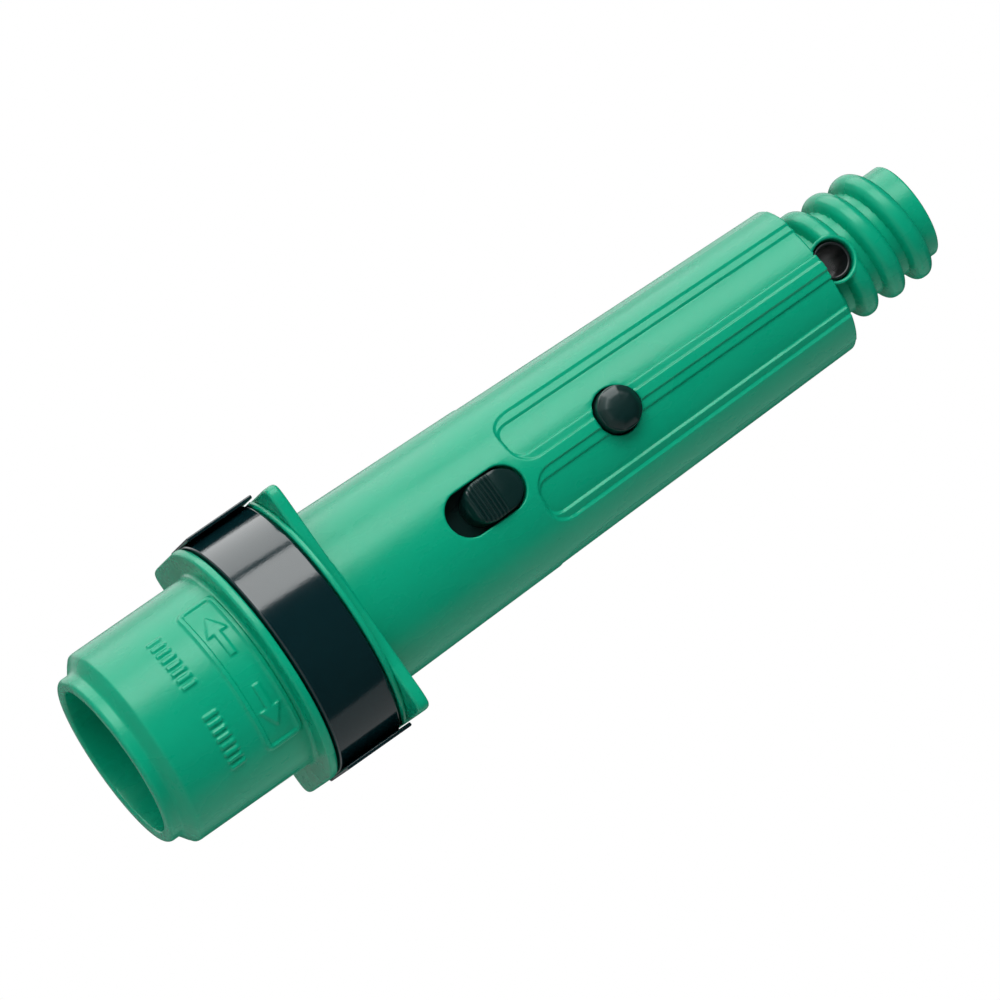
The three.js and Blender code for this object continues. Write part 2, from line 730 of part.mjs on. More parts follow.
function mechanismCarrier() {
  const radius = CAVITY_R - GAP;
  const shell = extrudedUp(dOutline(radius, carrierTop), carrierZ, CARRIER_LENGTH, 20);
  const innerOutline = dOutline(radius - CARRIER_WALL, carrierTop - CARRIER_WALL);
  const hollow = extrudedUp(innerOutline, carrierZ - CUT, CARRIER_LENGTH + 2 * CUT, 20);
  const buttonCup = springCup(buttonZ, SPRING_R + GAP, springFloorDepth);
  const detentCup = springCup(detentZ, BALL_R + GAP, detentSpringDepth - GAP);
  const shoulderRecess = turnedAcross(
    [
      [0, shoulderDepth - BUTTON_TRAVEL - GAP],
      [SHOULDER_R + GAP, shoulderDepth - BUTTON_TRAVEL - GAP],
      [SHOULDER_R + GAP, carrierTop + CUT],
      [0, carrierTop + CUT],
    ],
    buttonZ,
  );
  return shell
    .subtract(hollow)
    .add(buttonCup.outer)
    .add(detentCup.outer)
    .subtract(buttonCup.pocket)
    .subtract(detentCup.pocket)
    .subtract(shoulderRecess);
}

// ---------- pole stop and cross sleeve ----------

function poleStop() {
  const radius = SOCKET_R - GAP;
  return turned(
    [
      [STOP_HOLE_R, SOCKET_DEPTH],
      [radius - STOP_CHAMFER, SOCKET_DEPTH],
      [radius, SOCKET_DEPTH + STOP_CHAMFER],
      [radius, SOCKET_DEPTH + STOP_THICKNESS],
      [STOP_HOLE_R, SOCKET_DEPTH + STOP_THICKNESS],
      [STOP_HOLE_R, SOCKET_DEPTH],
    ],
    48,
  );
}

function crossSleeve() {
  const inner = CROSS_SLEEVE_R - CROSS_SLEEVE_WALL;
  const reach = CROSS_BOSS_REACH - CROSS_SLEEVE_RECESS;
  return turnedAcross(
    [
      [inner, -reach],
      [CROSS_SLEEVE_R, -reach],
      [CROSS_SLEEVE_R, reach],
      [inner, reach],
      [inner, -reach],
    ],
    crossZ,
  );
}

// ---------- assembly ----------

const greenPlastic = new THREE.MeshStandardMaterial({ color: 0x11a979, roughness: 0.5, metalness: 0 });
const blackPlastic = new THREE.MeshStandardMaterial({ color: 0x14191b, roughness: 0.35, metalness: 0 });
const darkPlastic = new THREE.MeshStandardMaterial({ color: 0x2b3133, roughness: 0.6, metalness: 0 });
const springSteel = new THREE.MeshStandardMaterial({ color: 0xb4b8ba, roughness: 0.3, metalness: 1 });

const object = new THREE.Group();

function addPart(name, solid, material) {
  const mesh = new THREE.Mesh(toGeometry(solid), material);
  mesh.name = name;
  object.add(mesh);
}

addPart('cone_body', coneBody(), greenPlastic);
addPart('retaining_clip', retainingClip(), blackPlastic);
addPart('release_button', releaseButton(), blackPlastic);
addPart('button_spring', buttonSpring(), springSteel);
addPart('slide_knob', slideKnob(), blackPlastic);
addPart('slide_lock_bar', slideBar(), springSteel);
addPart('detent_ball', detentBall(), springSteel);
addPart('detent_spring', detentSpring(), springSteel);
addPart('mechanism_carrier', mechanismCarrier(), darkPlastic);
addPart('pole_stop', poleStop(), darkPlastic);
addPart('cross_hole_sleeve', crossSleeve(), darkPlastic);

export default object;
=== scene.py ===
"""Visual model of the pole-tip locking cone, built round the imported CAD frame.

Lengths are millimetres until a mesh is made, which is in metres. An azimuth is an angle
round the object's axis: 0 is the front (-Y), where the button is, and 90 is +X.
"""
import math

import bmesh
import bpy
import numpy as np
from mathutils import Matrix, Vector


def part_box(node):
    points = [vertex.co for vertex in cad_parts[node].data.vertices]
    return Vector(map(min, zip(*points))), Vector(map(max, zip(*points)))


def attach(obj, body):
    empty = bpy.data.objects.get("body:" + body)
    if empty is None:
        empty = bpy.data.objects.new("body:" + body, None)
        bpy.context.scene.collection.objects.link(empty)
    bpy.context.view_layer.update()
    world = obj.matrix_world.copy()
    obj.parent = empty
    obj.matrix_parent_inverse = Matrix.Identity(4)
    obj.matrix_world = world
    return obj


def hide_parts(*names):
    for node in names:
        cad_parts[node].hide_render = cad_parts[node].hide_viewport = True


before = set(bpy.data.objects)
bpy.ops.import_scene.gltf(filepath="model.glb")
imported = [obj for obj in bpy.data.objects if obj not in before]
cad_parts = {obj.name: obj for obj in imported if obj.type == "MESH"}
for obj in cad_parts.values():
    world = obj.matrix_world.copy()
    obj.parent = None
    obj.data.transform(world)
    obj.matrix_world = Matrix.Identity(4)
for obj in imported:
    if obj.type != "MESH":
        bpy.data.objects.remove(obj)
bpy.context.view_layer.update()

MM = 0.001
GAP = 0.3


# ---------- places read from the CAD frame, in millimetres ----------

def limits(node):
    low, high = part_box(node)
    return low / MM, high / MM


_, body_high = limits("cone_body")
clip_low, clip_high = limits("retaining_clip")
button_low, button_high = limits("release_button")
knob_low, knob_high = limits("slide_knob")
sleeve_low, sleeve_high = limits("cross_hole_sleeve")
_, stop_high = limits("pole_stop")
ball_low, ball_high = limits("detent_ball")

TIP_Z = body_high.z
BUTTON_Z = (button_low.z + button_high.z) / 2
CROSS_Z = (sleeve_low.z + sleeve_high.z) / 2
SLEEVE_R = (sleeve_high.x - sleeve_low.x) / 2
STOP_SEAT_Z = stop_high.z + GAP

# ---------- sizes of the moulding ----------

BARREL_R = 16.3
LIP_R = 14.1
LIP_LENGTH = 2.1
LIP_CHAMFER_LENGTH = 1.6
SOCKET_R = 12.1
FLANGE_Z = 24.2
FLANGE_THICKNESS = 1.4
GROOVE_WIDTH = 11.4
REAR_FLANGE_THICKNESS = 0.9
PLATE_THICKNESS = 2.0
FLANGE_R = 20.0
FLANGE_HALF_WIDTH = 19.95
REAR_FLANGE_HALF_WIDTH = 19.6
FLANGE_CORNER_Y = 17.3
PLATE_HALF_HEIGHT = 15.7
CONE_LENGTH = 87.2
CONE_R_START = 14.6
CONE_SLOPE = 0.025
CONE_END_ROUND = 0.35
CAVITY_R = 10.6
CAVITY_LENGTH = 52.5
CAVITY_TAPER = 2.0
CORE_R = 5.2
CORE_LENGTH = 15.5
SOCKET_DEPTH = 50.0
NECK_ROOT_R = 7.8
NECK_BORE_R = 4.4
NECK_BORE_DEPTH = 21.5
THREAD_R = 9.75
THREAD_PITCH = 5.08
THREAD_FOOT = 3.6
THREAD_START = -0.8
THREAD_TURNS = 3.45
THREAD_RUNOUT_TURNS = 0.16
BOSS_REACH = 9.4
BOSS_WALL = 0.85

GROOVE_Z = FLANGE_Z + FLANGE_THICKNESS
REAR_FLANGE_Z = GROOVE_Z + GROOVE_WIDTH
PLATE_Z = REAR_FLANGE_Z + REAR_FLANGE_THICKNESS
CONE_Z = PLATE_Z + PLATE_THICKNESS
CONE_END_Z = CONE_Z + CONE_LENGTH
CAVITY_END_Z = SOCKET_DEPTH + CAVITY_LENGTH

# grip panels
PANEL_Z = CONE_Z + 31.3
PANEL_STEP = 0.42
PANEL_EDGES = (3.0, 42.5)
PANEL_INNER_EDGES = (9.3, 36.0)
PANEL_CORNER = 3.8
PANEL_INNER_CORNER = 2.2
SIDE_PANEL_EDGES = (69.0, 111.0)
SIDE_PANEL_DEPTH = 0.12
STEP_WIDTH = 0.34

# raised marks on the barrel
RELIEF = 0.32
MARK_Z = 20.3
MARK_HALF = (12.6, 2.75)
MARK_LINE = 0.42
ARROW_CENTRE = 6.2
ARROW_HALF = 3.6
TICK_Z = 12.4
TICK_HALF = (0.34, 1.2)
TICK_PITCH = 1.25
TICKS = 8
TICK_START = 2.6


# retaining clip
PAD_THICKNESS = 0.6
PAD_Y = -8.4
RIB_REACH = 11.1
RIB_HALF_HEIGHT = 1.5
RIB_Y = 6.0
RIB_SLOT_GAP = 0.3

# controls
BUTTON_R = 3.4
BUTTON_HOLE_R = BUTTON_R + GAP
SLOT_WIDTH = 7.2
SLOT_LENGTH = 13.3
SLOT_Z = CONE_Z + 17.6 + SLOT_LENGTH / 2
SLIDE_TRAVEL = 3.1
RIDGE_ZONE = (-3.9, 0.6)  # along the switch, from its centre
RIDGES = 7
KNOB_FLOOR_DEPTH = 8.7


def cone_radius(z):
    return CONE_R_START - CONE_SLOPE * (z - CONE_Z)


def smooth(x):
    """0 below 0, 1 above 1 and an S between them; numbers or arrays."""
    x = np.clip(x, 0.0, 1.0)
    return x * x * (3 - 2 * x)


def folded(azimuth):
    """Azimuth in degrees folded into 0 to 90, front or back alike."""
    a = np.abs((azimuth + 180.0) % 360.0 - 180.0)
    return np.where(a > 90.0, 180.0 - a, a)


# ---------- relief fields, each in millimetres of height or depth ----------

def open_box_distance(across, z, low, high, start, corner):
    """Distance inside a strip low..high that starts at start with round corners; negative outside."""
    side = np.minimum(across - low, high - across)
    ahead = z - start
    dx, dz = corner - side, corner - ahead
    rounded = corner - np.hypot(np.maximum(dx, 0), np.maximum(dz, 0))
    return np.where((dx > 0) & (dz > 0), rounded, np.minimum(side, ahead))


def panel_depth(azimuth, z):
    reach = cone_radius(z)
    across = np.radians(folded(azimuth)) * reach
    to_arc = math.pi / 180 * reach

    def step(edges, start, corner):
        inside = open_box_distance(across, z, edges[0] * to_arc, edges[1] * to_arc, start, corner)
        return smooth(inside / STEP_WIDTH)

    outer = step(PANEL_EDGES, PANEL_Z, PANEL_CORNER)
    inner = step(PANEL_INNER_EDGES, PANEL_Z + GAP, PANEL_INNER_CORNER)
    side = open_box_distance(
        np.radians(np.abs((azimuth + 180.0) % 360.0 - 180.0)) * reach,
        z,
        SIDE_PANEL_EDGES[0] * to_arc,
        SIDE_PANEL_EDGES[1] * to_arc,
        PANEL_Z,
        PANEL_CORNER,
    )
    return PANEL_STEP * (outer + inner) + SIDE_PANEL_DEPTH * smooth(side / STEP_WIDTH)


def round_box(across, z, half_across, half_z, corner):
    """Distance outside a rounded rectangle; negative inside."""
    qx = np.abs(across) - half_across + corner
    qz = np.abs(z) - half_z + corner
    return np.hypot(np.maximum(qx, 0), np.maximum(qz, 0)) + np.minimum(np.maximum(qx, qz), 0) - corner


def arrow(across, z):
    """Distance outside a plain arrow along +across, centred on 0; negative inside."""
    shaft = round_box(across + ARROW_HALF * 0.35, z, ARROW_HALF * 0.65, 0.55, 0.1)
    head_start = ARROW_HALF * 0.1
    slope = 1.75 / (ARROW_HALF - head_start)
    edge = (np.abs(z) - (ARROW_HALF - across) * slope) / math.hypot(1, slope)
    head = np.maximum(edge, head_start - across)
    return np.minimum(shaft, head)


def barrel_relief(azimuth, z):
    """Plain raised frame, two arrows towards the push pads and two groups of short bars."""
    signed = (azimuth + 180.0) % 360.0 - 180.0
    across = np.radians(signed) * BARREL_R
    line = np.abs(round_box(across, z - MARK_Z, *MARK_HALF, 0.9)) - MARK_LINE
    shapes = [line]
    for side in (-1, 1):
        shapes.append(arrow(side * across - ARROW_CENTRE, z - MARK_Z))
        for i in range(TICKS):
            centre = side * (TICK_START + i * TICK_PITCH)
            shapes.append(round_box(across - centre, z - TICK_Z, *TICK_HALF, 0.2))
    nearest = np.minimum.reduce(shapes)
    return RELIEF * smooth(0.5 - nearest / 0.34)


def thread_height(azimuth, z):
    """0 at the neck's root and 1 on the thread's crest."""
    turn = (azimuth % 360.0) / 360.0
    height = np.zeros(np.broadcast(azimuth, z).shape)
    for n in range(int(THREAD_TURNS) + 1):
        turns = turn + n
        centre = CONE_END_Z + THREAD_START + THREAD_PITCH * turns
        off = np.minimum(np.abs(z - centre) / (THREAD_FOOT / 2), 1)
        flank = (1 - off ** 2.6) ** 0.6
        ends = np.minimum(turns, THREAD_TURNS - turns) / THREAD_RUNOUT_TURNS
        height = np.maximum(height, flank * smooth(ends))
    return height


def neck_radius(azimuth, z):
    radius = NECK_ROOT_R + (THREAD_R - NECK_ROOT_R) * thread_height(azimuth, z)
    facing = np.abs(np.cos(np.radians(azimuth)))
    slant = np.abs(np.tan(np.radians(folded(azimuth))))
    off = np.hypot(BOSS_REACH * np.minimum(slant, 10), z - CROSS_Z)
    boss_r = SLEEVE_R + GAP + BOSS_WALL
    inside = smooth((boss_r + 0.1 - off) / 0.35)
    crown = BOSS_REACH / np.maximum(facing, 0.3) - 0.25 * smooth((off - boss_r + 0.45) / 0.45)
    return radius + (crown - radius) * inside


def superellipse(azimuth, half_width, half_height, power=20.0):
    a = np.radians(azimuth)
    sx = np.abs(np.sin(a)) / half_width
    sy = np.abs(np.cos(a)) / half_height
    return (sx ** power + sy ** power) ** (-1.0 / power)


def flange_radius(azimuth, half_width):
    """Round towards the front and cut at the sides, with round-cornered shoulders at the back."""
    a = np.radians(azimuth)
    side = half_width / np.maximum(np.abs(np.sin(a)), 1e-3)
    front = np.minimum(FLANGE_R, side)
    back = np.maximum(front, superellipse(azimuth, half_width, FLANGE_CORNER_Y))
    return np.where(np.cos(a) > 0, front, back)


# ---------- mesh helpers ----------

def new_mesh_object(name, points, faces):
    mesh = bpy.data.meshes.new(name)
    mesh.from_pydata([tuple(p) for p in np.asarray(points, float) * MM], [], faces)
    work = bmesh.new()
    work.from_mesh(mesh)
    bmesh.ops.recalc_face_normals(work, faces=work.faces)
    work.to_mesh(mesh)
    work.free()
    obj = bpy.data.objects.new(name, mesh)
    bpy.context.scene.collection.objects.link(obj)
    return obj


def rings_object(name, rings, closed_ends=True):
    """Closed rings of equal length, one after another, with a fan at each end."""
    count = len(rings[0])
    points = [p for ring in rings for p in ring]
    faces = []
    for i in range(len(rings) - 1):
        for k in range(count):
            n = (k + 1) % count
            faces.append((i * count + k, i * count + n, (i + 1) * count + n, (i + 1) * count + k))
    if closed_ends:
        for ring_index in (0, len(rings) - 1):
            centre = np.mean(rings[ring_index], axis=0)
            points.append(centre)
            tip = len(points) - 1
            base = ring_index * count
            for k in range(count):
                faces.append((tip, base + k, base + (k + 1) % count))
    else:
        last = (len(rings) - 1) * count
        for k in range(count):
            n = (k + 1) % count
            faces.append((last + k, last + n, n, k))
    return new_mesh_object(name, points, faces)


def combine(target, other, operation):
    """Boolean of two closed pieces; the second one is used up."""
    modifier = target.modifiers.new("boolean", "BOOLEAN")
    modifier.operation = operation
    modifier.solver = "MANIFOLD"
    modifier.object = other
    bpy.context.view_layer.update()
    graph = bpy.context.evaluated_depsgraph_get()
    result = bpy.data.meshes.new_from_object(target.evaluated_get(graph))
    target.modifiers.clear()
    old = target.data
    target.data = result
    bpy.data.meshes.remove(old)
    bpy.data.objects.remove(other)
    return target


def finish_piece(obj, body, material, replaces=(), sharp=38.0):
    mesh = obj.data
    mesh.materials.clear()
    mesh.materials.append(material)
    mesh.polygons.foreach_set("use_smooth", [True] * len(mesh.polygons))
    mesh.set_sharp_from_angle(angle=math.radians(sharp))
    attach(obj, body)
    if replaces:
        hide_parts(*replaces)
    return obj


def arc(centre_a, centre_b, radius, start, end, steps=5):
    """Points on a circle in a profile plane, angles in degrees."""
    angles = np.radians(np.linspace(start, end, steps))
    return [(centre_a + radius * math.cos(t), centre_b + radius * math.sin(t)) for t in angles]


def circle(count):
    return np.linspace(0, 2 * math.pi, count, endpoint=False)


def lathe_across(name, profile, z, count=64, loop=False, phase=0.0):
    """[radius, depth] profile turned about a line along Y at height z."""
    t = circle(count) + phase
    rings = [
        np.stack([r * np.cos(t), np.full(count, -depth), z + r * np.sin(t)], 1) for r, depth in profile
    ]
    return rings_object(name, rings, closed_ends=not loop)


def rounded_box(name, low, high, radius, steps=4):
    """Box with round edges, made from rings of a rounded rectangle."""
    (x0, y0, z0), (x1, y1, z1) = low, high
    corners = [(x1, y1, 0), (x0, y1, 90), (x0, y0, 180), (x1, y0, 270)]

    def outline(inset, z):
        points = []
        r = max(radius - inset, 0.02)
        for cx, cy, start in corners:
            ax = cx - math.copysign(radius, cx - (x0 + x1) / 2)
            ay = cy - math.copysign(radius, cy - (y0 + y1) / 2)
            for px, py in arc(ax, ay, r, start, start + 90, steps + 1):
                points.append((px, py, z))
        return np.array(points)

    rings = []
    for i in range(steps + 1):
        t = math.pi / 2 * i / steps
        rings.append(outline(radius * (1 - math.sin(t)), z0 + radius * (1 - math.cos(t))))
    for i in range(steps, -1, -1):
        t = math.pi / 2 * i / steps
        rings.append(outline(radius * (1 - math.sin(t)), z1 - radius * (1 - math.cos(t))))
    return rings_object(name, rings)


def stadium(width, length, centre_z, count=96):
    """Points and outward normals of a slot outline in X and Z."""
    radius = width / 2
    straight = length / 2 - radius
    t = circle(count) + math.pi / count
    normals = np.stack([np.cos(t), np.sin(t)], 1)
    centres = np.stack([np.zeros(count), centre_z + np.where(np.sin(t) > 0, straight, -straight)], 1)
    return centres + radius * normals, normals


def hole_cutter(name, outline, normals, surface, inner_depth, edge_round):
    """Cutter along Y whose walls turn outwards, round, where they meet the surface."""
    rings = []

    def ring(offset, below):
        xz = outline + normals * offset
        depth = surface(xz[:, 0], xz[:, 1]) - below
        rings.append(np.stack([xz[:, 0], -depth, xz[:, 1]], 1))

    ring(edge_round, -2.5)
    ring(edge_round, -0.02)
    for i in range(1, 6):
        t = math.pi / 2 * i / 5
        ring(edge_round * (1 - math.sin(t)), edge_round * (1 - math.cos(t)))
    rings.append(np.stack([outline[:, 0], np.full(len(outline), -inner_depth), outline[:, 1]], 1))
    return rings_object(name, rings)


# ---------- materials ----------

def moulded(name, colour, tint, roughness, specular=0.5, coat=0.0, grain=0.02, flow=60.0, metallic=0.0):
    """Moulded plastic or drawn metal: flow variation in the colour, uneven gloss and a fine grain."""
    material = bpy.data.materials.new(name)
    material.use_nodes = True
    tree = material.node_tree
    shader = tree.nodes["Principled BSDF"]
    shader.inputs["Metallic"].default_value = metallic
    shader.inputs["Specular IOR Level"].default_value = specular
    shader.inputs["Coat Weight"].default_value = coat
    shader.inputs["Coat Roughness"].default_value = 0.12
    where = tree.nodes.new("ShaderNodeTexCoord")
    stretch = tree.nodes.new("ShaderNodeMapping")
    stretch.inputs["Scale"].default_value = (1.0, 1.0, 0.45)
    tree.links.new(where.outputs["Object"], stretch.inputs["Vector"])

    def noise(scale, detail):
        node = tree.nodes.new("ShaderNodeTexNoise")
        node.inputs["Scale"].default_value = scale
        node.inputs["Detail"].default_value = detail
        tree.links.new(stretch.outputs["Vector"], node.inputs["Vector"])
        return node

    def ramp(source, low, high):
        node = tree.nodes.new("ShaderNodeValToRGB")
        node.color_ramp.elements[0].position = 0.3
        node.color_ramp.elements[0].color = low
        node.color_ramp.elements[1].position = 0.7
        node.color_ramp.elements[1].color = high
        tree.links.new(source.outputs["Fac"], node.inputs["Fac"])
        return node

    clouds = noise(flow, 4.0)
    colours = ramp(clouds, (*tint, 1), (*colour, 1))
    tree.links.new(colours.outputs["Color"], shader.inputs["Base Color"])
    gloss = ramp(noise(flow * 4, 6.0), (roughness * 0.82,) * 3 + (1,), (roughness * 1.18,) * 3 + (1,))
    tree.links.new(gloss.outputs["Color"], shader.inputs["Roughness"])
    bump = tree.nodes.new("ShaderNodeBump")
    bump.inputs["Strength"].default_value = grain
    bump.inputs["Distance"].default_value = 0.0002
    tree.links.new(noise(3200.0, 2.0).outputs["Fac"], bump.inputs["Height"])
    tree.links.new(bump.outputs["Normal"], shader.inputs["Normal"])
    return material


green = moulded(
    "green_moulding", (0.0005, 0.335, 0.185), (0.0004, 0.305, 0.167), 0.28,
    specular=0.22, grain=0.08,
)
gloss_black = moulded(
    "gloss_black", (0.002, 0.016, 0.019), (0.0015, 0.013, 0.016), 0.12,
    grain=0.03,
)
satin_black = moulded(
    "satin_black", (0.002, 0.02, 0.018), (0.0015, 0.016, 0.015), 0.32,
    specular=0.3, grain=0.08,
)
dark_grey = moulded(
    "dark_grey", (0.02, 0.025, 0.028), (0.015, 0.019, 0.022), 0.42,
    grain=0.1,
)
steel = moulded(
    "bright_steel", (0.55, 0.56, 0.57), (0.42, 0.43, 0.44), 0.24,
    grain=0.06, metallic=1.0,
)
sleeve_metal = moulded(
    "sleeve", (0.008, 0.011, 0.012), (0.006, 0.008, 0.009), 0.3,
    specular=0.5, grain=0.05,
)


# ---------- the green moulding ----------

def body_columns():
    """Azimuths in degrees, closer together where the panels and marks are."""
    fine = np.arange(-58.2, 58.2, 0.6)
    coarse = np.arange(58.2, 121.8, 1.06)
    return np.concatenate([fine, coarse, fine + 180.0, coarse + 180.0])


def body_rings():
    """The moulding's closed skin as rings, from the bottom of the core out round to the neck's bore."""
    azimuth = body_columns()
    a = np.radians(azimuth)
    rings = []

    def ring(radius, z):
        radius = np.broadcast_to(radius, a.shape)
        rings.append(np.stack([radius * np.sin(a), -radius * np.cos(a), np.broadcast_to(z, a.shape)], 1))

    def pairs(points):
        for radius, z in points:
            ring(radius, z)

    core_end = CAVITY_END_Z + CORE_LENGTH
    ring(0.6, core_end)
    pairs([(CORE_R - 0.4, core_end), (CORE_R, core_end - 0.4), (CORE_R, CAVITY_END_Z + CAVITY_TAPER)])
    pairs([(CAVITY_R, CAVITY_END_Z), (CAVITY_R, 90.0), (CAVITY_R, 72.0), (CAVITY_R, STOP_SEAT_Z)])
    pairs([(SOCKET_R, STOP_SEAT_Z)])
    for z in np.linspace(STOP_SEAT_Z - 1, 1.6, 12):
        ring(SOCKET_R, z)
    pairs(arc(SOCKET_R + 0.5, 0.5, 0.5, 180, 270, 6))
    pairs(arc(LIP_R - 0.8, 0.8, 0.8, 270, 360, 8))
    pairs([(LIP_R, 1.3), (LIP_R, LIP_LENGTH - 0.3)])
    pairs([(LIP_R + 0.06, LIP_LENGTH - 0.08), (LIP_R + 0.22, LIP_LENGTH + 0.1)])
    shoulder = LIP_LENGTH + LIP_CHAMFER_LENGTH
    for share in (0.25, 0.5, 0.72):
        ring(LIP_R + (BARREL_R - LIP_R) * share, LIP_LENGTH + LIP_CHAMFER_LENGTH * share)
    for share, past in ((0.86, -0.17), (0.95, 0.0), (0.985, 0.22), (1.0, 0.6)):
        ring(LIP_R + (BARREL_R - LIP_R) * share, shoulder + past)
    for z in np.arange(shoulder + 0.9, FLANGE_Z - 0.75, 0.25):
        ring(BARREL_R + barrel_relief(azimuth, z), z)
    fillet = 0.6
    pairs(arc(BARREL_R + fillet, FLANGE_Z - fillet, fillet, 180, 90, 6))
    flange(ring, azimuth, FLANGE_HALF_WIDTH, FLANGE_Z, GROOVE_Z, 0.55, 0.45)
    fillet = 0.3
    pairs(arc(BARREL_R + fillet, GROOVE_Z + fillet, fillet, 270, 180, 4))
    for z in np.linspace(GROOVE_Z + 1, REAR_FLANGE_Z - 1, 8):
        ring(BARREL_R, z)
    pairs(arc(BARREL_R + fillet, REAR_FLANGE_Z - fillet, fillet, 180, 90, 4))
    flange(ring, azimuth, REAR_FLANGE_HALF_WIDTH, REAR_FLANGE_Z, PLATE_Z, 0.45, 0.25)
    plate = superellipse(azimuth, REAR_FLANGE_HALF_WIDTH, PLATE_HALF_HEIGHT, 22.0)
    rim = 0.6
    ring(plate - rim, PLATE_Z)
    for t in np.radians([22.5, 45.0, 67.5, 90.0]):
        ring(plate - rim * (1 - math.sin(t)), PLATE_Z + rim * (1 - math.cos(t)))
    ring(plate, CONE_Z - rim)
    for t in np.radians([22.5, 45.0, 67.5, 90.0]):
        ring(plate - rim * (1 - math.cos(t)), CONE_Z - rim * (1 - math.sin(t)))
    fillet = 0.6
    start = CONE_R_START - CONE_SLOPE * fillet
    pairs(arc(start + fillet, CONE_Z + fillet, fillet, 270, 180, 6))
    stretches = [
        np.arange(CONE_Z + 1.6, PANEL_Z - 1.0, 1.6),
        np.arange(PANEL_Z - 0.6, PANEL_Z + 4.6, 0.17),
        np.arange(PANEL_Z + 5.6, CONE_END_Z - CONE_END_ROUND - 0.2, 1.6),
    ]
    for z in np.concatenate(stretches):
        ring(cone_radius(z) - panel_depth(azimuth, z), z)
    z = CONE_END_Z - CONE_END_ROUND
    end = cone_radius(z) - panel_depth(azimuth, z)
    for t in np.radians(np.linspace(0, 90, 7)):
        ring(end - CONE_END_ROUND * (1 - math.cos(t)), z + CONE_END_ROUND * math.sin(t))
    fillet = 0.4
    foot = neck_radius(azimuth, CONE_END_Z + fillet)
    for t in np.radians([90.0, 60.0, 30.0, 0.0]):
        ring(foot + fillet * (1 - math.cos(t)), CONE_END_Z + fillet * (1 - math.sin(t)))
    for z in np.arange(CONE_END_Z + fillet + 0.16, TIP_Z - 0.45, 0.16):
        ring(neck_radius(azimuth, z), z)
    pairs(arc(NECK_ROOT_R - 0.35, TIP_Z - 0.35, 0.35, 0, 90, 5))
    pairs(arc(NECK_BORE_R + 0.3, TIP_Z - 0.3, 0.3, 90, 180, 5))
    bore_end = TIP_Z - NECK_BORE_DEPTH
    for z in np.linspace(TIP_Z - 1, bore_end + 0.4, 12):
        ring(NECK_BORE_R, z)
    pairs([(NECK_BORE_R - 0.4, bore_end), (0.6, bore_end)])
    return rings


def flange(ring, azimuth, half_width, z0, z1, near_round, far_round):
    """A flange's face, its round rim and its other face, down to where the fillets start."""
    rim = flange_radius(azimuth, half_width)
    ring(BARREL_R + 0.8, z0)
    ring(rim - near_round - 0.2, z0)
    ring(rim - near_round, z0)
    for t in np.radians(np.linspace(15, 90, 6)):
        ring(rim - near_round * (1 - math.sin(t)), z0 + near_round * (1 - math.cos(t)))
    for t in np.radians(np.linspace(90, 0, 5)):
        ring(rim - far_round * (1 - math.sin(t)), z1 - far_round * (1 - math.cos(t)))


def slot_surface(x, z):
    return np.sqrt(cone_radius(z) ** 2 - x ** 2)


def button_surface(x, z):
    azimuth = np.degrees(np.arcsin(x / cone_radius(z)))
    radius = cone_radius(z) - panel_depth(azimuth, z)
    return np.sqrt(radius ** 2 - x ** 2)


def round_outline(radius, z, count=64):
    t = circle(count)
    normals = np.stack([np.cos(t), np.sin(t)], 1)
    return normals * radius + np.array([0.0, z]), normals


def make_body():
    body = rings_object("cone_moulding", body_rings())
    outline, normals = stadium(SLOT_WIDTH, SLOT_LENGTH, SLOT_Z)
    combine(body, hole_cutter("cut", outline, normals, slot_surface, 0.0, 0.32), "DIFFERENCE")
    outline, normals = round_outline(BUTTON_HOLE_R, BUTTON_Z)
    combine(body, hole_cutter("cut", outline, normals, button_surface, 0.0, 0.3), "DIFFERENCE")
    hole_r = SLEEVE_R + GAP
    flare = 0.35
    reach = BOSS_REACH
    half = [(hole_r + flare, reach + 2.0), (hole_r + flare, reach + 0.02)]
    for t in np.radians([18.0, 36.0, 54.0, 72.0, 90.0]):
        half.append((hole_r + flare * (1 - math.sin(t)), reach - flare * (1 - math.cos(t))))
    profile = [(r, -d) for r, d in half] + [(r, d) for r, d in reversed(half)]
    combine(body, lathe_across("cut", profile, CROSS_Z), "DIFFERENCE")
    rib_z = (clip_low.z + REAR_FLANGE_Z - (clip_low.z - GROOVE_Z)) / 2
    for side in (-1, 1):
        near, far = sorted((side * (RIB_REACH - RIB_SLOT_GAP), side * (BARREL_R + 1)))
        low = (near, -BARREL_R, rib_z - RIB_HALF_HEIGHT - RIB_SLOT_GAP)
        high = (far, RIB_Y + RIB_SLOT_GAP, rib_z + RIB_HALF_HEIGHT + RIB_SLOT_GAP)
        combine(body, rounded_box("cut", low, high, 0.2), "DIFFERENCE")
        near, far = sorted((side * (clip_high.x - PAD_THICKNESS - GAP), side * (FLANGE_R + 1)))
        low = (near, -FLANGE_R, REAR_FLANGE_Z - 1.5)
        high = (far, clip_high.y + GAP, clip_high.z + GAP)
        combine(body, rounded_box("cut", low, high, 0.3), "DIFFERENCE")
    finish_piece(body, "body", green, ["cone_body"])
    return body


# ---------- retaining clip ----------

